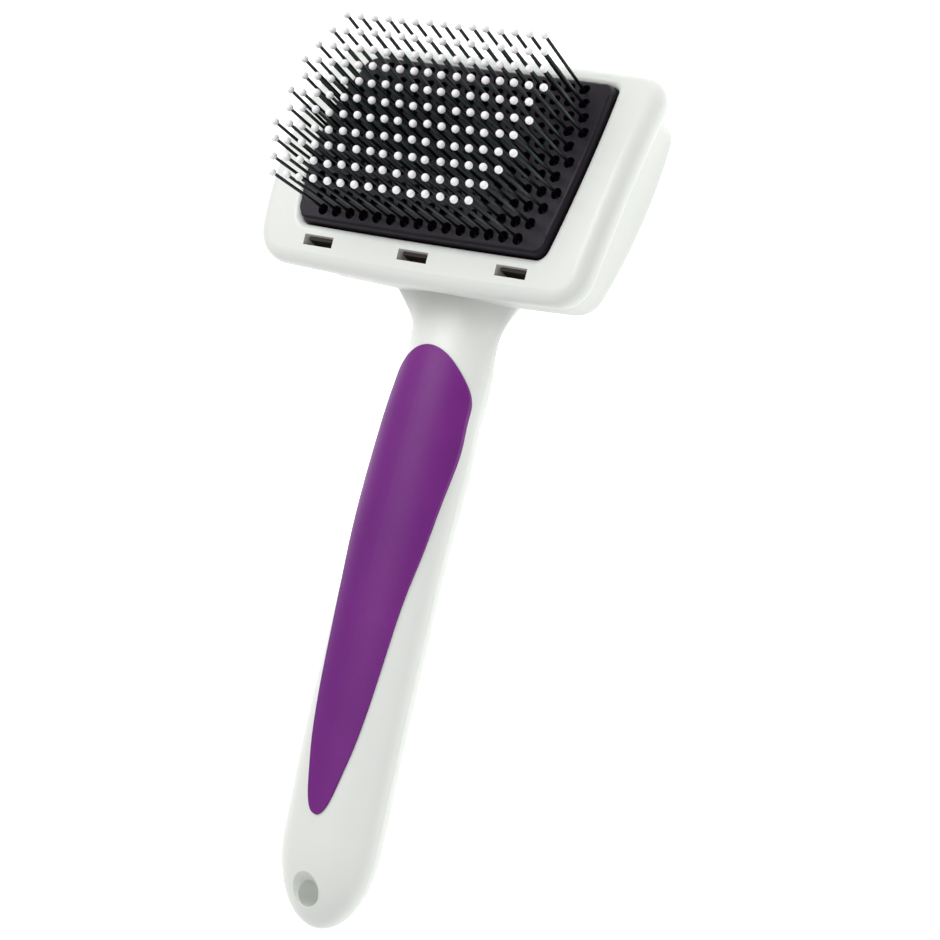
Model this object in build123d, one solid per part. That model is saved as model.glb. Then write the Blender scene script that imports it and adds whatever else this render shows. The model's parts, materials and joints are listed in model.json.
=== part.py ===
from build123d import *
import math
import os

os.makedirs("parts", exist_ok=True)

# Slicker brush with a lift plate. Millimetres.
# The head is drawn in its own frame: X across, Y away from the handle, Z along the pins,
# zero on top of the lift plate. Everything is then turned so the brush lies on its back.

# pin field
PITCH = 4.05
ROW_STEP = 3.77
ROW_COUNTS = (15, 16, 17, 18, 17, 18, 17, 18, 17, 16, 15)
FAN_STEP = 1.2
PIN_D = 0.7
TIP_D = 2.1
TIP_HEIGHT = 17.8

# head
HEAD_L = 97.6
HEAD_NEAR = 31.1
HEAD_FAR = 26.6
RIM_T = 7.0
RIM_ROUND = 3.2
CROWN_R = 97.0
FACE_DROP = 1.0
OPEN_L = 76.6
OPEN_W = 44.0
OPEN_BOW = 2.8
HEAD_BOW = 2.4
CORNER_R = 8.0
BACK_DEPTH = 25.4
WALL = 2.0

# lift plate and its drive
TRAVEL = 6.0
GAP = 0.4
PLATE_T = 1.8
PLATE_SKIRT = 6.0
HOLE_D = 2.7
POST_X = 33.0
POST_Y = 18.2
POST_D = 4.0
BUTTON_L = 40.0
BUTTON_W = 24.0
BUTTON_Y = -6.0
BUTTON_PROUD = 2.6

# pin carrier
PAD_TOP = -7.8
PAD_T = 3.0
BACKING_T = 1.2
BED_TOP = -9.2
BED_BOTTOM = -12.6
PUSHER_TOP = -20.7
PUSHER_T = 1.8
SPRING_WIRE = 0.6
SPRING_TURNS = 4
SPRING_GAP = 0.9
PLATE_SCREW_D = 1.8
PLATE_SCREW_HEAD_D = 3.2
PLATE_SCREW_TOP = -3.2
SCREW_RECESS = 1.2

# rim windows
WINDOW_X = 28.1
WINDOW_Y = -25.7
WINDOW_L = 8.6
WINDOW_W = 2.4
WINDOW_DEPTH = 13.5
TAB_L = 7.2

# handle
HANDLE_T = 18.8
HANDLE_WALL = 3.0
SHELL_SCREWS = (-70.0, -122.0)
SCREW_D = 2.2
SCREW_HEAD_D = 5.0
SCREW_HEAD_T = 2.0
SCREW_SEAT = 5.6
SCREW_REACH = 5.0
SCREW_BOSS_D = 6.8
SCREW_BOSS_L = 13.6
END_L = 20.4
GRIP_DEPTH = 1.4
GRIP_PROUD = 0.5
HANG_D = 6.0
HANG_Y = -156.8
HANG_Z = -65.6
HANG_LEAN = 20.0
BORE_HALF = 4.8
FLARE_T = 5.0
FLARE_W = 4.0
LIE_ANGLE = 14.7
PART_Y = -22.5

FACE_Z = -FACE_DROP
UPWARD = (Align.CENTER, Align.CENTER, Align.MIN)
UNDER_R = CROWN_R - RIM_T

# handle stations: y, z of the centre, width, thickness as a share of HANDLE_T, lean of the section
STATIONS = (
    (-20.0, -19.0, 44.0, 1.0, -32.0),
    (-26.0, -23.2, 33.0, 1.0, -36.0),
    (-31.0, -27.0, 25.6, 0.98, -34.0),
    (-37.0, -30.5, 23.0, 0.98, -20.0),
    (-47.0, -33.0, 23.6, 0.96, -8.0),
    (-58.0, -35.5, 25.0, 0.91, 5.0),
    (-76.0, -40.0, 25.8, 0.87, 15.0),
    (-96.0, -45.7, 26.0, 0.86, 16.0),
    (-116.0, -51.7, 26.4, 0.85, 17.0),
    (-132.0, -56.9, 26.4, 0.85, 18.0),
    (-145.0, -61.3, 26.2, 0.84, 20.0),
)

# grip outline: distance from the head centre, half width
GRIP_SIDE = (
    (-45.0, 10.4), (-51.0, 11.6), (-58.0, 12.0), (-66.0, 11.8), (-74.0, 11.3), (-83.0, 10.6),
    (-92.0, 9.5), (-101.0, 8.7), (-112.0, 7.9), (-121.0, 7.0), (-128.0, 5.9), (-134.0, 4.5),
)
GRIP_TOP_Y = -40.2
GRIP_TOP_HALF = 5.6
GRIP_ARCH = 1.7
GRIP_TIP_Y = -142.6


def bowed_outline(half_l, near, far, bow_end, bow_side, radius):
    """Four-sided outline whose sides bulge a little, corners rounded."""
    x = half_l - bow_end
    lo = near + bow_side
    hi = far - bow_side
    mid = (near + far) / 2
    side = ThreePointArc((x, lo), (half_l, mid), (x, hi))
    top = ThreePointArc((x, hi), (0, far), (-x, hi))
    other = ThreePointArc((-x, hi), (-half_l, mid), (-x, lo))
    bottom = ThreePointArc((-x, lo), (0, near), (x, lo))
    face = make_face([side, top, other, bottom])
    return fillet(face.vertices(), radius)


def crown(radius):
    """Solid cylinder along X, centred on the crown axis of the head."""
    return Pos(0, 0, FACE_Z - CROWN_R) * Rot(0, 90, 0) * Cylinder(radius, 3 * HEAD_L)


def head_outline(side, near, far, radius):
    """Head outline drawn in from the rim by a different amount on each side."""
    half = HEAD_L / 2 - side
    return bowed_outline(half, -HEAD_NEAR + near, HEAD_FAR - far, HEAD_BOW, 1.0, radius)


def opening_outline(inset):
    return bowed_outline(
        OPEN_L / 2 - inset, -OPEN_W / 2 + inset, OPEN_W / 2 - inset, OPEN_BOW, 0.2, 3.2 - inset * 0.5
    )


def rim_slab():
    """Crowned rim with a fully rounded outer edge."""
    slab = extrude(Pos(0, 0, -25) * head_outline(0, 0, 0, CORNER_R), 30) & crown(CROWN_R)
    slab = slab - crown(UNDER_R)
    faces = slab.faces().filter_by(GeomType.CYLINDER).sort_by(SortBy.AREA)[-2:]
    edges = faces[0].edges() + faces[1].edges()
    return fillet(edges, RIM_ROUND)


def dome(inset, depth):
    """Back of the head below the rim."""
    top = Pos(0, 0, -4) * head_outline(3.6 + inset, 1.8 + inset, 1.6 + inset, 6.5)
    base = Pos(0, 0, -depth) * head_outline(8.0 + inset, 5.0 + inset, 2.0 + inset, 6.0)
    body = loft([top, base])
    rim = body.faces().sort_by(Axis.Z)[0].edges()
    return fillet(rim, 4.0) & crown(UNDER_R)


def handle_loft(grow):
    """Loft of elliptical sections along the handle, joined along its top and its underside."""
    sections = []
    for y, z, width, share, lean in STATIONS:
        place = Pos(0, y, z) * Rot(90 + lean, 0, 0)
        half_w = width / 2 + grow
        half_t = HANDLE_T * share / 2 + grow
        left = EllipticalCenterArc((0, 0), half_w, half_t, start_angle=90, arc_size=180)
        sections.append(place * make_face([left, mirror(left, about=Plane.YZ)]))
    return loft(sections)


def handle_end():
    """Rounded end of the handle, half an ellipsoid on the last section."""
    y, z, width, share, lean = STATIONS[-1]
    whole = scale(Sphere(1), by=(width / 2, HANDLE_T * share / 2, END_L))
    return Pos(0, y, z) * Rot(90 + lean, 0, 0) * split(whole, Plane.XY, keep=Keep.TOP)


def front_region():
    """Everything on the pin side of the parting line of neck and handle."""
    line = [(y, z) for y, z, _, _, _ in STATIONS if y < PART_Y]
    points = [Vector(0, PART_Y, -20.5)] + [Vector(0, y, z) for y, z in line]
    curve = Spline(*points)
    last = points[-1]
    edges = [
        curve,
        Line(last, (0, -200, last.Z - 20)),
        Line((0, -200, last.Z - 20), (0, -200, 40)),
        Line((0, -200, 40), (0, PART_Y, 40)),
        Line((0, PART_Y, 40), points[0]),
    ]
    return extrude(make_face(edges), amount=70, dir=(1, 0, 0), both=True)


def grip_prism():
    """Teardrop outline of the soft inlay, as a tall prism."""
    points = [(GRIP_TOP_HALF, GRIP_TOP_Y)] + [(w, y) for y, w in GRIP_SIDE] + [(0, GRIP_TIP_Y)]
    right = Spline(*points, tangents=((1, -0.6), (-1, 0)), tangent_scalars=(0.5, 0.8))
    left = mirror(right, about=Plane.YZ)
    crest = (0, GRIP_TOP_Y + GRIP_ARCH)
    cap = ThreePointArc((-GRIP_TOP_HALF, GRIP_TOP_Y), crest, (GRIP_TOP_HALF, GRIP_TOP_Y))
    return extrude(Pos(0, 0, -90) * make_face([right, left, cap]), 90)


def hang_cutter():
    """Hang hole with flared mouths, square to the handle end."""
    place = Pos(0, HANG_Y, HANG_Z) * Rot(HANG_LEAN, 0, 0)
    bore = Cylinder(HANG_D / 2, 2 * HANDLE_T)
    flare = Cone(HANG_D / 2, HANG_D / 2 + FLARE_W, FLARE_T, align=UPWARD)
    front = Pos(0, 0, BORE_HALF) * flare
    back = Pos(0, 0, -BORE_HALF) * Rot(180, 0, 0) * flare
    return place * (bore + front + back)


def pin_place(row, index):
    """Frame of one pin at the height of the lift plate, Z along the pin."""
    offset = row - (len(ROW_COUNTS) - 1) / 2
    x = (index - (ROW_COUNTS[row] - 1) / 2) * PITCH
    return Pos(x, -offset * ROW_STEP, 0) * Rot(offset * FAN_STEP, 0, 0)


def row_pins(row, extra=0.0):
    low = PAD_TOP - PAD_T
    length = TIP_HEIGHT - low
    pin = Pos(0, 0, (TIP_HEIGHT + low) / 2 - extra / 2) * Cylinder(PIN_D / 2, length + extra)
    return [pin_place(row, i) * pin for i in range(ROW_COUNTS[row])]


def row_tips(row):
    ball = Pos(0, 0, TIP_HEIGHT) * Sphere(TIP_D / 2)
    ball = ball - Pos(0, 0, TIP_HEIGHT - TIP_D / 2) * Cylinder(PIN_D / 2, TIP_D)
    return [pin_place(row, i) * ball for i in range(ROW_COUNTS[row])]


def post_spots():
    return [Pos(sx * POST_X, sy * POST_Y, 0) for sx in (-1, 1) for sy in (-1, 1)]


def plate_holes():
    """One clearance hole round each pin, centred on the pin's sweep through the plate."""
    spots = []
    for row, count in enumerate(ROW_COUNTS):
        offset = (len(ROW_COUNTS) - 1) / 2 - row
        y0 = offset * ROW_STEP
        sag = CROWN_R - math.sqrt(CROWN_R**2 - y0**2)
        rise = TRAVEL / 2 - PLATE_T / 2 - sag
        y = y0 + rise * math.tan(math.radians(offset * FAN_STEP))
        for i in range(count):
            spots.append(Pos((i - (count - 1) / 2) * PITCH, y))
    return spots


def lift_plate():
    outline = opening_outline(GAP)
    top = crown(CROWN_R + FACE_DROP)
    plate = extrude(Pos(0, 0, -PLATE_SKIRT) * outline, PLATE_SKIRT + 1) & top
    upper = plate.faces().sort_by(SortBy.AREA)
    crest = [f for f in upper if f.geom_type == GeomType.CYLINDER][-1]
    plate = fillet(crest.edges(), 0.9)
    hollow = extrude(Pos(0, 0, -PLATE_SKIRT - 1) * opening_outline(GAP + 1.5), PLATE_SKIRT + 2)
    plate = plate - (hollow & crown(CROWN_R + FACE_DROP - PLATE_T))
    boss = Pos(0, 0, -PLATE_SKIRT / 2 - 0.6) * Cylinder(POST_D / 2 + 0.6, PLATE_SKIRT - 1.2)
    for spot in post_spots():
        plate = plate + (spot * boss & top)
    pattern = Sketch() + [spot * Circle(HOLE_D / 2) for spot in plate_holes()]
    plate = plate - extrude(Pos(0, 0, -PLATE_SKIRT - 2) * pattern, PLATE_SKIRT + 6)
    screw = Pos(0, 0, -PLATE_SKIRT) * Cylinder(PLATE_SCREW_D / 2, 2 * (PLATE_SKIRT + PLATE_SCREW_TOP) + 0.4)
    for spot in post_spots():
        plate = plate - spot * screw
    return plate


def window_spots(dy=0.0):
    return [Pos(x, WINDOW_Y + dy, 0) for x in (-WINDOW_X, 0, WINDOW_X)]


def pin_bed():
    """Tray under the opening that carries pad and pins, with a hook in each rim window."""
    height = BED_TOP - BED_BOTTOM
    tray = extrude(Pos(0, 0, BED_BOTTOM) * opening_outline(0.6), height)
    pocket = extrude(Pos(0, 0, PAD_TOP - PAD_T - BACKING_T) * opening_outline(3.0), 20)
    ledge = Pos(0, -OPEN_W / 2 - 1.5, BED_BOTTOM + height / 2)
    tray = tray + ledge * Box(OPEN_L * 0.84, 4.4, height)
    tray = tray - pocket
    for spot in post_spots():
        collar = Pos(0, 0, (PAD_TOP - 1.0 + BED_BOTTOM) / 2)
        tray = tray + spot * collar * Cylinder(POST_D / 2 + 1.3, PAD_TOP - 1.0 - BED_BOTTOM)
    for spot in post_spots():
        tray = tray - spot * Cylinder(POST_D / 2 + 0.35, 60)
    tray = tray & crown(UNDER_R - 0.2) & dome(WALL + 0.25, BACK_DEPTH - WALL)
    for spot in window_spots():
        stem = Pos(0, 0.7, BED_BOTTOM + 0.2) * Box(WINDOW_L - 1.6, 0.8, TAB_L, align=UPWARD)
        tray = tray + spot * (stem & crown(CROWN_R + FACE_DROP - 2.6))
    return tray


def pin_pad():
    pad = extrude(Pos(0, 0, PAD_TOP - PAD_T) * opening_outline(3.1), PAD_T)
    for spot in post_spots():
        pad = pad - spot * Cylinder(POST_D / 2 + 1.4, 60)
    pins = []
    for row in range(len(ROW_COUNTS)):
        pins += row_pins(row, 2.0)
    return pad - pins


def pin_backing():
    backing = extrude(Pos(0, 0, PAD_TOP - PAD_T - BACKING_T) * opening_outline(3.1), BACKING_T)
    for spot in post_spots():
        backing = backing - spot * Cylinder(POST_D / 2 + 1.4, 60)
    return backing


def pusher_frame():
    """Flat frame behind the pin bed, with four posts up to the lift plate."""
    mid = PUSHER_TOP - PUSHER_T / 2
    frame = Pos(0, 0, mid) * Box(2 * POST_X + 3.2, 2 * POST_Y + 3.2, PUSHER_T)
    frame = fillet(frame.edges().filter_by(Axis.Z), 2.6)
    for sx in (-1, 1):
        frame = frame - Pos(sx * 24.0, 0, mid) * Box(9.0, 22.0, 2 * PUSHER_T)
    for spot in post_spots():
        height = -PLATE_SKIRT - PUSHER_TOP
        frame = frame + spot * Pos(0, 0, PUSHER_TOP + height / 2) * Cylinder(POST_D / 2, height)
        frame = frame - spot * Cylinder(PLATE_SCREW_D / 2 + 0.2, 100)
        seat = Cylinder(PLATE_SCREW_HEAD_D / 2 + 0.1, 2 * SCREW_RECESS)
        frame = frame - spot * Pos(0, 0, PUSHER_TOP - PUSHER_T) * seat
    return frame


def button_body(grow, low, high):
    sketch = Pos(0, BUTTON_Y, low) * RectangleRounded(BUTTON_L + 2 * grow, BUTTON_W + 2 * grow, 9.0 + grow)
    return extrude(sketch, high - low)


def push_button():
    low = -BACK_DEPTH - BUTTON_PROUD
    body = button_body(0.0, low, PUSHER_TOP - PUSHER_T)
    body = fillet(body.faces().sort_by(Axis.Z)[0].edges(), 1.8)
    hollow = button_body(-2.2, low + 2.2, PUSHER_TOP - PUSHER_T + 1)
    return body - hollow


def return_spring():
    """Compression coil between pin bed and pusher, in its own frame, foot on the pusher."""
    height = BED_BOTTOM - PUSHER_TOP
    rise = height - SPRING_WIRE
    path = Helix(pitch=rise / SPRING_TURNS, height=rise, radius=POST_D / 2 + SPRING_GAP)
    start = path.position_at(0)
    profile = Plane(origin=start, z_dir=path.tangent_at(0)) * Circle(SPRING_WIRE / 2)
    return Pos(0, 0, PUSHER_TOP + SPRING_WIRE / 2) * sweep(profile, path)


def plate_screw():
    low = PUSHER_TOP - PUSHER_T
    head = Pos(0, 0, low + 0.05) * Cylinder(PLATE_SCREW_HEAD_D / 2, SCREW_RECESS - 0.1, align=UPWARD)
    shank = Pos(0, 0, low + 0.6) * Cylinder(PLATE_SCREW_D / 2, PLATE_SCREW_TOP - low - 0.6, align=UPWARD)
    slot = Pos(0, 0, low) * Box(2.2, 0.5, 0.8)
    return head + shank - slot


def screw_place(y):
    """Frame on the handle centre line at station y, Z towards the pins."""
    for a, b in zip(STATIONS, STATIONS[1:]):
        if b[0] <= y <= a[0]:
            share = (y - a[0]) / (b[0] - a[0])
            z = a[1] + share * (b[1] - a[1])
            lean = a[4] + share * (b[4] - a[4])
            return Pos(0, y, z) * Rot(lean, 0, 0)


def shells():
    """Front and back shell of head, neck and handle."""
    outer = dome(0.0, BACK_DEPTH) + handle_loft(0.0) + handle_end()
    inner = dome(WALL, BACK_DEPTH - WALL) + handle_loft(-HANDLE_WALL)
    core = outer - inner
    for y in SHELL_SCREWS:
        boss = screw_place(y) * Cylinder(SCREW_BOSS_D / 2, SCREW_BOSS_L)
        core = core + boss
    core = core - hang_cutter()
    region = front_region()
    front = core & region
    back = core - region
    opening = extrude(Pos(0, 0, -40) * opening_outline(0), 60)
    rim = rim_slab() - opening
    mouth = [e for e in rim.edges() if abs(e.center().X) < OPEN_L / 2 + 0.1
             and -OPEN_W / 2 - 0.1 < e.center().Y < OPEN_W / 2 + 0.1
             and e.center().Z > FACE_Z - 3.6 and e.length > 2.0]
    rim = fillet(mouth, 1.5)
    front = rim + front
    for spot in window_spots():
        front = front - spot * Box(WINDOW_L, WINDOW_W, 2 * WINDOW_DEPTH)
    recess = (grip_prism() & region) - handle_loft(-GRIP_DEPTH)
    front = front - recess
    grip = recess & handle_loft(GRIP_PROUD)
    well = button_body(0.5, -60, -20)
    back = back - well
    for y in SHELL_SCREWS:
        place = screw_place(y)
        sink = Cylinder(SCREW_HEAD_D / 2 + 0.3, HANDLE_T, align=UPWARD)
        back = back - place * Cylinder(SCREW_D / 2 + 0.2, 2 * SCREW_SEAT)
        back = back - place * Pos(0, 0, -SCREW_SEAT - HANDLE_T) * sink
        front = front - place * Cylinder(SCREW_D / 2, 2 * SCREW_REACH)
    return front, back, grip


def shell_screw():
    head = Pos(0, 0, -SCREW_SEAT - SCREW_HEAD_T) * Cylinder(SCREW_HEAD_D / 2, SCREW_HEAD_T, align=UPWARD)
    shank = Pos(0, 0, -SCREW_SEAT) * Cylinder(SCREW_D / 2, SCREW_SEAT + SCREW_REACH - 0.5, align=UPWARD)
    slot = Pos(0, 0, -SCREW_SEAT - SCREW_HEAD_T) * Box(3.6, 0.7, 1.6)
    return head + shank - slot


def build():
    nodes = {}
    front, back, grip = shells()
    nodes["front_shell"] = front
    nodes["back_shell"] = back
    nodes["soft_grip"] = grip
    nodes["lift_plate"] = lift_plate()
    nodes["pin_bed"] = pin_bed()
    nodes["pin_pad"] = pin_pad()
    nodes["pin_backing"] = pin_backing()
    nodes["pusher_frame"] = pusher_frame()
    nodes["push_button"] = push_button()
    nodes["plate_screws"] = Compound(children=[spot * plate_screw() for spot in post_spots()])
    nodes["shell_screws"] = Compound(children=[screw_place(y) * shell_screw() for y in SHELL_SCREWS])
    spring = return_spring()
    for number, spot in enumerate(post_spots(), 1):
        nodes[f"return_spring_{number}"] = spot * spring
    for row in range(len(ROW_COUNTS)):
        nodes[f"pin_row_{row + 1:02d}"] = Compound(children=row_pins(row))
        nodes[f"tip_row_{row + 1:02d}"] = Compound(children=row_tips(row))
    return nodes


nodes = build()
turn = Rot(-LIE_ANGLE, 0, 0)
placed = {name: turn * shape for name, shape in nodes.items()}
boxes = [shape.bounding_box() for shape in placed.values()]
low = min(box.min.Z for box in boxes)
middle = (min(box.min.Y for box in boxes) + max(box.max.Y for box in boxes)) / 2
shift = Pos(0, -middle, -low)
for name, shape in placed.items():
    export_step(shift * shape, f"parts/{name}.step")
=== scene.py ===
# %% Start
import bpy
import json
import math
from mathutils import Matrix, Vector


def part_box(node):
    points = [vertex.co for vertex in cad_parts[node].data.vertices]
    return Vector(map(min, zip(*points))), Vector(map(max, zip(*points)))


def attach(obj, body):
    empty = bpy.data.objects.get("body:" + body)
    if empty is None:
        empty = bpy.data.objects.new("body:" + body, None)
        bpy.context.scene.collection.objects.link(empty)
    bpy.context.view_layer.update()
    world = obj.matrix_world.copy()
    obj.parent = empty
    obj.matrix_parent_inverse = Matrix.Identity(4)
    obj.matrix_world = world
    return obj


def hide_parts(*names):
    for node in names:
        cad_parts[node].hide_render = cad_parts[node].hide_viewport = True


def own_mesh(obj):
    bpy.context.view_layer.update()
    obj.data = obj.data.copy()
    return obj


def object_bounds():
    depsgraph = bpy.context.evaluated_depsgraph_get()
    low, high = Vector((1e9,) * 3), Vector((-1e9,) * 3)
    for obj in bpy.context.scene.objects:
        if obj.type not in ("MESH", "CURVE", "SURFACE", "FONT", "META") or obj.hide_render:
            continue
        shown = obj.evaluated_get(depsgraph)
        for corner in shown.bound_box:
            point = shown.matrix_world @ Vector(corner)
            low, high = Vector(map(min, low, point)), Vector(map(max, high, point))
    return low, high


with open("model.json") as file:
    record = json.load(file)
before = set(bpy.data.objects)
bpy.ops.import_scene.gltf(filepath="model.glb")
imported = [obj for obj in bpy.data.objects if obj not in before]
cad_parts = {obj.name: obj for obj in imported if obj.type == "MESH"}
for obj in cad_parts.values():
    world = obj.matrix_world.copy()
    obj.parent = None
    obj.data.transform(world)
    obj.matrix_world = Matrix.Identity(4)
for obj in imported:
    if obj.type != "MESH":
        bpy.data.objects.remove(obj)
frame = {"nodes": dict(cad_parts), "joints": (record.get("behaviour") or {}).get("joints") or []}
cad_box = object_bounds()
print("CAD box", [tuple(round(v, 4) for v in corner) for corner in cad_box])

# %% [markdown]
# The brush lies on its back, with the head tilted. Most shapes belong to the head, so they are
# easiest to place in the head's own axes: X across, Y away from the handle, Z along the pins.
# The slide joint of the lift plate runs along the pins, so its axis gives Z, and the middle row
# of tips gives the height. Everything measured in millimetres in those axes goes through
# `spot`, which turns it into a point of the row frame in metres.

# %% Head axes
MM = 0.001
TIP_REACH = 17.8
PINS_UP = Vector(frame["joints"][0]["axis"]).normalized()
ACROSS = Vector((1, 0, 0))
ALONG = PINS_UP.cross(ACROSS)
mid_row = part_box("tip_row_06")
HEAD_ZERO = (mid_row[0] + mid_row[1]) / 2 - PINS_UP * TIP_REACH * MM
HEAD = Matrix.Translation(HEAD_ZERO) @ Matrix((ACROSS, ALONG, PINS_UP)).transposed().to_4x4()


def spot(x, y, z):
    return HEAD @ (Vector((x, y, z)) * MM)


lean = math.degrees(PINS_UP.angle(Vector((0, 0, 1))))
print("head origin", [round(v, 4) for v in HEAD_ZERO], "lean", round(lean, 2))

# %% [markdown]
# The camera stands in front of the brush and to its right, far away, so that lines stay nearly
# parallel. Its place and its upward direction are given in the head's axes, because the angle
# on the pins is what a viewer notices first. A long lens goes with the long distance.

# %% Camera
CAMERA_SPOT = (492.0, -258.8, 536.6)
CAMERA_TARGET = (13.7, -61.0, -36.3)
CAMERA_UP = (-0.161, 0.884, 0.440)
LENS = 132.4
camera_data = bpy.data.cameras.new("camera")
camera = bpy.data.objects.new("camera", camera_data)
bpy.context.scene.collection.objects.link(camera)
camera_data.lens = LENS
camera_data.sensor_width = 36.0
camera_data.clip_start = 0.01
camera_data.clip_end = 20.0
back = (spot(*CAMERA_SPOT) - spot(*CAMERA_TARGET)).normalized()
side = (HEAD.to_3x3() @ Vector(CAMERA_UP)).cross(back).normalized()
turn = Matrix((side, back.cross(side), back)).transposed().to_4x4()
camera.matrix_world = Matrix.Translation(spot(*CAMERA_SPOT)) @ turn
bpy.context.scene.camera = camera
print("camera", [round(v, 3) for v in camera.location])

# %% [markdown]
# Shader maths is easier to read as arithmetic. `Shade` wraps one output socket, and adding or
# multiplying two of them adds a Math node behind the scenes. `Finish` holds a material's node
# tree and makes any other node in one call: its type, its settings, then its inputs.

# %% A small shading language
OBJECT_COORDINATES = 3


class Shade:
    def __init__(self, tree, socket):
        self.tree = tree
        self.socket = socket

    def _math(self, operation, a, b):
        node = self.tree.nodes.new("ShaderNodeMath")
        node.operation = operation
        for slot, value in zip(node.inputs, (a, b)):
            if isinstance(value, Shade):
                self.tree.links.new(value.socket, slot)
            else:
                slot.default_value = value
        return Shade(self.tree, node.outputs[0])

    def __add__(self, other):
        return self._math("ADD", self, other)

    def __radd__(self, other):
        return self._math("ADD", other, self)

    def __mul__(self, other):
        return self._math("MULTIPLY", self, other)

    def __rmul__(self, other):
        return self._math("MULTIPLY", other, self)


class Finish:
    def __init__(self, name, **fixed):
        self.material = bpy.data.materials.new(name)
        self.material.use_nodes = True
        self.tree = self.material.node_tree
        self.shader = self.tree.nodes["Principled BSDF"]
        for socket, value in fixed.items():
            self.shader.inputs[socket.replace("_", " ")].default_value = value

    def node(self, kind, settings=None, inputs=None, out=0):
        made = self.tree.nodes.new(kind)
        for key, value in (settings or {}).items():
            setattr(made, key, value)
        for key, value in (inputs or {}).items():
            if isinstance(value, Shade):
                self.tree.links.new(value.socket, made.inputs[key])
            else:
                made.inputs[key].default_value = value
        return Shade(self.tree, made.outputs[out])

    def place(self):
        return self.node("ShaderNodeTexCoord", out=OBJECT_COORDINATES)

    def noise(self, scale, detail=2.0, rough=0.5):
        inputs = {"Vector": self.place(), "Scale": scale, "Detail": detail, "Roughness": rough}
        return self.node("ShaderNodeTexNoise", inputs=inputs)

    def blend(self, share, a, b):
        inputs = {0: share, 6: (*a, 1.0), 7: (*b, 1.0)}
        return self.node("ShaderNodeMix", {"data_type": "RGBA"}, inputs, out=2)

    def bump(self, height, strength, distance):
        inputs = {"Height": height, "Strength": strength, "Distance": distance}
        return self.node("ShaderNodeBump", inputs=inputs)

    def feed(self, **links):
        for socket, value in links.items():
            self.tree.links.new(value.socket, self.shader.inputs[socket.replace("_", " ")])
        return self.material


print("shading helpers ready")

# %% [markdown]
# The shells are injection-moulded plastic with a satin gloss. A broad noise mixes the lit white
# with a darker shaded white, painted shade in random patches; the gloss varies where the mould was
# polished, and the surface has a shallow orange-peel ripple. Two noises of different size give that.

# %% White shell plastic
def white_plastic(name, lit_tone, painted_shade_tone, gloss):
    finish = Finish(name, IOR=1.5)
    broad_noise = finish.noise(28.0, 3.0)
    ripple = finish.noise(650.0, 2.0)
    speck = finish.noise(2600.0, 1.0)
    return finish.feed(
        # Base colour: the noise mixes the lit tone with a darker shaded tone, which is painted shade in
        # random patches.
        Base_Color=finish.blend(broad_noise, painted_shade_tone, lit_tone),
        Roughness=gloss + broad_noise * 0.08 + speck * 0.05,
        Normal=finish.bump(ripple + speck * 0.25, 0.12, 0.00015),
    )


# The first colour is the shell's lit tone. The second is its shaded tone, which is painted shade.
SHELL = white_plastic("white_shell", (0.730, 0.750, 0.718), (0.670, 0.692, 0.655), 0.34)
print("made", SHELL.name)

# %% [markdown]
# The grip is a soft rubber-like plastic. It scatters light broadly, its colour is a deep violet
# that shifts a little towards red where it is thick, and its skin has a fine matt grain.

# %% Violet soft plastic
def violet_rubber(name, gloss, grain_strength):
    finish = Finish(name, Specular_IOR_Level=0.25)
    broad_noise = finish.noise(40.0, 3.0)
    grain = finish.noise(3200.0, 2.0)
    smear = finish.noise(140.0, 4.0)
    return finish.feed(
        Base_Color=finish.blend(broad_noise, (0.098, 0.005, 0.142), (0.182, 0.015, 0.212)),
        Roughness=gloss + smear * 0.12,
        Normal=finish.bump(grain, grain_strength, 0.0002),
    )


GRIP = violet_rubber("violet_grip", 0.42, 0.16)
BUTTON = violet_rubber("violet_button", 0.34, 0.10)
print("made", GRIP.name, BUTTON.name)

# %% [markdown]
# The lift plate is black plastic with a faint violet cast. It is satin, with a fine moulded
# texture and slightly paler patches. The pieces inside the head are dull brown-black plastic,
# and the cushion that holds the wires is matt rubber. One function makes all three.

# %% Black plate, inner plastic and rubber
def dark_plastic(name, dark, pale, gloss, grain):
    finish = Finish(name, Specular_IOR_Level=0.28)
    patch = finish.noise(110.0, 5.0, 0.6)
    texture = finish.noise(1900.0, 2.0)
    return finish.feed(
        Base_Color=finish.blend(patch, dark, pale),
        Roughness=gloss + patch * 0.16,
        Normal=finish.bump(texture, grain, 0.0002),
    )


PLATE = dark_plastic("black_plate", (0.0035, 0.0015, 0.005), (0.010, 0.005, 0.014), 0.36, 0.12)
INNER = dark_plastic("inner_plastic", (0.016, 0.009, 0.008), (0.030, 0.018, 0.016), 0.5, 0.12)
PAD = dark_plastic("pad_rubber", (0.012, 0.012, 0.012), (0.03, 0.03, 0.03), 0.65, 0.25)
print("made", PLATE.name, INNER.name, PAD.name)

# %% [markdown]
# The wires are dark steel, drawn through a die, so their sheen is broken by faint scratches.
# The balls on their ends are dipped plastic: nearly white, very smooth, a little warmer than
# the shells. Springs and screws are plain bright steel.

# %% Steel and ball plastic
def steel(name, dull, bright, gloss):
    finish = Finish(name, Metallic=1.0)
    scratch = finish.noise(900.0, 3.0)
    return finish.feed(
        Base_Color=finish.blend(scratch, dull, bright),
        Roughness=gloss + scratch * 0.15,
    )


WIRE = steel("dark_wire", (0.022, 0.030, 0.028), (0.060, 0.070, 0.070), 0.28)
BRIGHT = steel("bright_steel", (0.52, 0.52, 0.53), (0.68, 0.68, 0.69), 0.28)
# The second colour is a shaded tone of the ball plastic, painted shade mixed in at random patches.
BALL = white_plastic("ball_plastic", (0.92, 0.90, 0.92), (0.87, 0.84, 0.87), 0.18)
print("made", WIRE.name, BRIGHT.name, BALL.name)

# %% [markdown]
# A CAD piece whose shape is already right keeps its mesh and only gets its finish. The table
# below says which finish each of them wears.

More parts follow.
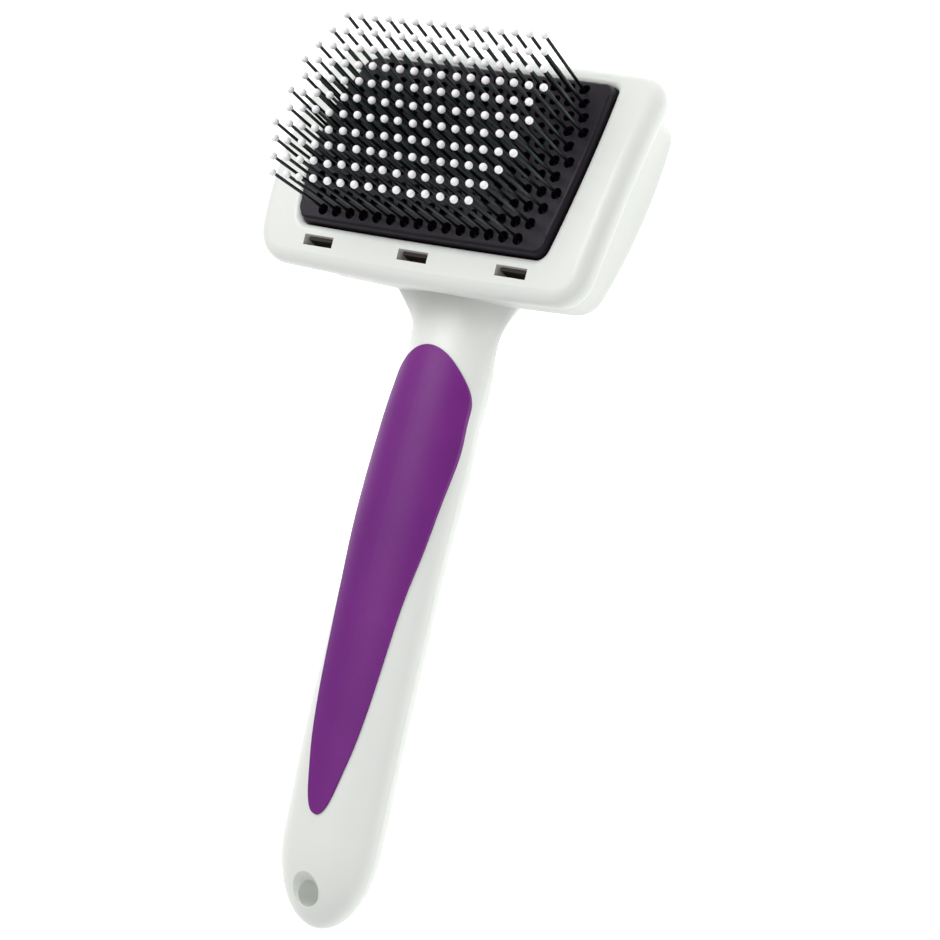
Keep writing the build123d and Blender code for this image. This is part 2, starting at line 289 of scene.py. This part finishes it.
# %% Finishes on the CAD pieces
WEARS = {
    "front_shell": SHELL,
    "back_shell": SHELL,
    "soft_grip": GRIP,
    "push_button": BUTTON,
    "lift_plate": PLATE,
    "pin_bed": INNER,
    "pusher_frame": INNER,
    "pin_pad": PAD,
    "pin_backing": BRIGHT,
    "plate_screws": BRIGHT,
    "shell_screws": BRIGHT,
}
for name, node in frame["nodes"].items():
    finish = WEARS.get(name)
    if name.startswith("return_spring"):
        finish = BRIGHT
    if finish:
        node.data.materials.clear()
        node.data.materials.append(finish)
        print(name, "wears", finish.name)

# %% [markdown]
# The pins are what makes this a slicker brush: eleven staggered rows of fine wires that fan out
# a little towards both long edges, each with a ball on its end. They repeat, so one Geometry
# Nodes tree makes a row: points on a line, one wire or ball on each, tilted by the row's fan
# angle and by a small random stray that keeps the field from looking printed. The same seed
# for wires and balls keeps each ball on its wire.

# %% The row tree
def add(tree, kind, settings=None, links=None, values=None):
    node = tree.nodes.new(kind)
    for key, value in (settings or {}).items():
        setattr(node, key, value)
    for key, value in (values or {}).items():
        node.inputs[key].default_value = value
    for key, socket in (links or {}).items():
        tree.links.new(socket, node.inputs[key])
    return node


def row_tree(name, ball, material):
    tree = bpy.data.node_groups.new(name, "GeometryNodeTree")
    sizes = (("Count", "NodeSocketInt"), ("Pitch", "NodeSocketFloat"), ("Radius", "NodeSocketFloat"),
             ("Low", "NodeSocketFloat"), ("High", "NodeSocketFloat"), ("Fan", "NodeSocketFloat"),
             ("Stray", "NodeSocketFloat"), ("Seed", "NodeSocketInt"))
    for label, kind in sizes:
        tree.interface.new_socket(label, in_out="INPUT", socket_type=kind)
    tree.interface.new_socket("Geometry", in_out="OUTPUT", socket_type="NodeSocketGeometry")
    given = tree.nodes.new("NodeGroupInput").outputs
    step = add(tree, "ShaderNodeCombineXYZ", links={"X": given["Pitch"]})
    less = add(tree, "ShaderNodeMath", {"operation": "SUBTRACT"}, {0: given["Count"]}, {1: 1.0})
    half = add(tree, "ShaderNodeMath", {"operation": "MULTIPLY"}, {0: less.outputs[0]}, {1: -0.5})
    first = add(tree, "ShaderNodeMath", {"operation": "MULTIPLY"}, {0: half.outputs[0], 1: given["Pitch"]})
    start = add(tree, "ShaderNodeCombineXYZ", links={"X": first.outputs[0]})
    line = add(tree, "GeometryNodeMeshLine", {"mode": "OFFSET"},
               {"Count": given["Count"], "Start Location": start.outputs[0], "Offset": step.outputs[0]})
    if ball:
        shape = add(tree, "GeometryNodeMeshUVSphere", values={"Segments": 9, "Rings": 6},
                    links={"Radius": given["Radius"]})
        lift = add(tree, "ShaderNodeCombineXYZ", links={"Z": given["High"]})
    else:
        span = add(tree, "ShaderNodeMath", {"operation": "SUBTRACT"}, {0: given["High"], 1: given["Low"]})
        shape = add(tree, "GeometryNodeMeshCylinder", values={"Vertices": 8},
                    links={"Radius": given["Radius"], "Depth": span.outputs[0]})
        total = add(tree, "ShaderNodeMath", {"operation": "ADD"}, {0: given["High"], 1: given["Low"]})
        middle = add(tree, "ShaderNodeMath", {"operation": "MULTIPLY"}, {0: total.outputs[0]}, {1: 0.5})
        lift = add(tree, "ShaderNodeCombineXYZ", links={"Z": middle.outputs[0]})
    raised = add(tree, "GeometryNodeTransform",
                 links={"Geometry": shape.outputs[0], "Translation": lift.outputs[0]})
    minus = add(tree, "ShaderNodeMath", {"operation": "MULTIPLY"}, {0: given["Stray"]}, {1: -1.0})
    low_turn = add(tree, "ShaderNodeCombineXYZ", links={"X": minus.outputs[0], "Y": minus.outputs[0]})
    high_turn = add(tree, "ShaderNodeCombineXYZ", links={"X": given["Stray"], "Y": given["Stray"]})
    random = add(tree, "FunctionNodeRandomValue", {"data_type": "FLOAT_VECTOR"},
                 {0: low_turn.outputs[0], 1: high_turn.outputs[0], "Seed": given["Seed"]})
    fan = add(tree, "ShaderNodeCombineXYZ", links={"X": given["Fan"]})
    turn = add(tree, "ShaderNodeVectorMath", {"operation": "ADD"}, {0: random.outputs[0], 1: fan.outputs[0]})
    placed = add(tree, "GeometryNodeInstanceOnPoints", links={
        "Points": line.outputs[0], "Instance": raised.outputs[0], "Rotation": turn.outputs[0]})
    real = add(tree, "GeometryNodeRealizeInstances", links={"Geometry": placed.outputs[0]})
    smooth = add(tree, "GeometryNodeSetShadeSmooth", links={"Geometry": real.outputs[0]})
    dressed = add(tree, "GeometryNodeSetMaterial", links={"Geometry": smooth.outputs[0]},
                  values={"Material": material})
    out = tree.nodes.new("NodeGroupOutput")
    tree.links.new(dressed.outputs[0], out.inputs[0])
    return tree


WIRE_TREE = row_tree("wire_row", False, WIRE)
BALL_TREE = row_tree("ball_row", True, BALL)
print("row trees ready")

# %% [markdown]
# `grown` runs a tree on an empty object and returns the plain mesh. The rows are then moved to
# their place on the head and joined, so all wires are one piece and all balls another.

# %% Growing the pin field
PITCH = 4.05
ROW_STEP = 3.77
FAN_STEP = 1.2
STRAY = 0.7
WIRE_RADIUS = 0.39
BALL_RADIUS = 0.93
WIRE_FOOT = -10.7
ROW_COUNTS = (15, 16, 17, 18, 17, 18, 17, 18, 17, 16, 15)


def grown(tree, values):
    holder = bpy.data.objects.new("holder", bpy.data.meshes.new("holder"))
    bpy.context.scene.collection.objects.link(holder)
    modifier = holder.modifiers.new("rows", "NODES")
    modifier.node_group = tree
    for item in tree.interface.items_tree:
        if item.in_out == "INPUT":
            modifier[item.identifier] = values[item.name]
    evaluated = holder.evaluated_get(bpy.context.evaluated_depsgraph_get())
    mesh = bpy.data.meshes.new_from_object(evaluated)
    bpy.data.objects.remove(holder)
    return mesh


def joined(name, meshes):
    objects = []
    for mesh in meshes:
        piece = bpy.data.objects.new(name, mesh)
        bpy.context.scene.collection.objects.link(piece)
        objects.append(piece)
    with bpy.context.temp_override(active_object=objects[0], selected_editable_objects=objects):
        bpy.ops.object.join()
    objects[0].name = name
    return objects[0]


def field(name, tree, radius):
    rows = []
    for row, count in enumerate(ROW_COUNTS):
        out = (len(ROW_COUNTS) - 1) / 2 - row
        mesh = grown(tree, {
            "Count": count, "Pitch": PITCH * MM, "Radius": radius * MM, "Low": WIRE_FOOT * MM,
            "High": TIP_REACH * MM, "Fan": math.radians(-out * FAN_STEP),
            "Stray": math.radians(STRAY), "Seed": row,
        })
        mesh.transform(HEAD @ Matrix.Translation((0, out * ROW_STEP * MM, 0)))
        rows.append(mesh)
    return joined(name, rows)


wires = field("pin_wires", WIRE_TREE, WIRE_RADIUS)
balls = field("pin_balls", BALL_TREE, BALL_RADIUS)
for piece, prefix, slot in ((wires, "pin_row_", "pin_wire"), (balls, "tip_row_", "tip_plastic")):
    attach(piece, "brush")
    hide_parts(*[f"{prefix}{row + 1:02d}" for row in range(len(ROW_COUNTS))])
    print(piece.name, len(piece.data.polygons), "faces")

# %% [markdown]
# Four return springs sit round the posts between the fixed pin bed and the pusher frame, and
# are squeezed as the plate rises. A coil follows a spiral, so a small tree sweeps a circle along
# a Curve Spiral. The upper end of each spring rests against the pin bed.

# %% Return springs
SPRING_WIRE = 0.6
SPRING_TURNS = 4.0
SPRING_SPARE = 2.1
travel = frame["joints"][0]["range_m"][1] / MM
spring_boxes = [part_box(f"return_spring_{number}") for number in range(1, 5)]
coil_width = (spring_boxes[0][1].x - spring_boxes[0][0].x) / MM
coil_middles = [HEAD.inverted() @ ((low + high) / 2) for low, high in spring_boxes]
spring_height = travel + SPRING_SPARE


def spring_tree(name, material):
    tree = bpy.data.node_groups.new(name, "GeometryNodeTree")
    for label in ("Radius", "Wire", "Turns", "Height"):
        tree.interface.new_socket(label, in_out="INPUT", socket_type="NodeSocketFloat")
    tree.interface.new_socket("Geometry", in_out="OUTPUT", socket_type="NodeSocketGeometry")
    given = tree.nodes.new("NodeGroupInput").outputs
    spiral = add(tree, "GeometryNodeCurveSpiral", values={"Resolution": 24},
                 links={"Rotations": given["Turns"], "Start Radius": given["Radius"],
                        "End Radius": given["Radius"], "Height": given["Height"]})
    circle = add(tree, "GeometryNodeCurvePrimitiveCircle", values={"Resolution": 8},
                 links={"Radius": given["Wire"]})
    swept = add(tree, "GeometryNodeCurveToMesh", values={"Fill Caps": True},
                links={"Curve": spiral.outputs[0], "Profile Curve": circle.outputs[0]})
    real = add(tree, "GeometryNodeRealizeInstances", links={"Geometry": swept.outputs[0]})
    dressed = add(tree, "GeometryNodeSetMaterial", links={"Geometry": real.outputs[0]},
                  values={"Material": material})
    out = tree.nodes.new("NodeGroupOutput")
    tree.links.new(dressed.outputs[0], out.inputs[0])
    return tree


SPRING_TREE = spring_tree("return_coil", BRIGHT)
rise = spring_height - SPRING_WIRE
for number, coil_middle in enumerate(coil_middles, 1):
    mesh = grown(SPRING_TREE, {"Radius": (coil_width - SPRING_WIRE) / 2 * MM, "Wire": SPRING_WIRE / 2 * MM,
                               "Turns": SPRING_TURNS, "Height": rise * MM})
    foot = coil_middle - Vector((0, 0, rise / 2 * MM))
    mesh.transform(HEAD @ Matrix.Translation(foot))
    coil = joined(f"spring_coil_{number}", [mesh])
    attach(coil, "brush")
    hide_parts(f"return_spring_{number}")
    top = HEAD @ (coil_middle + Vector((0, 0, spring_height / 2 * MM)))
    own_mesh(coil)

# %% [markdown]
# A pale floor and broad soft lights give the even, almost shadowless look of a catalogue
# picture. The floor glows a little, so that it stays whiter than the white plastic on it.

# %% Floor and lights
FLOOR_REACH = 3.0
FLOOR_DROP = 0.0002


def floor_piece():
    mesh = bpy.data.meshes.new("floor")
    signs = ((-1, -1), (1, -1), (1, 1), (-1, 1))
    corners = [(a * FLOOR_REACH, b * FLOOR_REACH, -FLOOR_DROP) for a, b in signs]
    mesh.from_pydata(corners, [], [(0, 1, 2, 3)])
    piece = bpy.data.objects.new("floor", mesh)
    bpy.context.scene.collection.objects.link(piece)
    finish = Finish("floor_paper", Roughness=0.9, Emission_Strength=0.6, Emission_Color=(1, 1, 1, 1))
    fibre = finish.noise(60.0, 4.0)
    mesh.materials.append(finish.feed(Base_Color=finish.blend(fibre, (0.93, 0.93, 0.93), (0.96, 0.96, 0.96))))
    return piece


def softbox(name, place, target, size, power, colour):
    data = bpy.data.lights.new(name, "AREA")
    data.shape = "SQUARE"
    data.size = size
    data.energy = power
    data.color = colour
    lamp = bpy.data.objects.new(name, data)
    bpy.context.scene.collection.objects.link(lamp)
    lamp.location = place
    lamp.rotation_mode = "QUATERNION"
    lamp.rotation_quaternion = (Vector(target) - Vector(place)).to_track_quat("-Z", "Y")
    return lamp


floor_piece()
middle = (cad_box[0] + cad_box[1]) / 2
softbox("key", (-0.35, 0.45, 1.1), middle, 0.8, 12.0, (1.0, 1.0, 1.0))
softbox("fill", (0.9, -0.5, 0.8), middle, 0.9, 2.6, (0.98, 0.99, 1.0))
world = bpy.data.worlds.new("studio")
bpy.context.scene.world = world
world.use_nodes = True
world.node_tree.nodes["Background"].inputs["Color"].default_value = (1, 1, 1, 1)
world.node_tree.nodes["Background"].inputs["Strength"].default_value = 0.42
bpy.context.scene.view_settings.view_transform = "Standard"
print("stage ready")
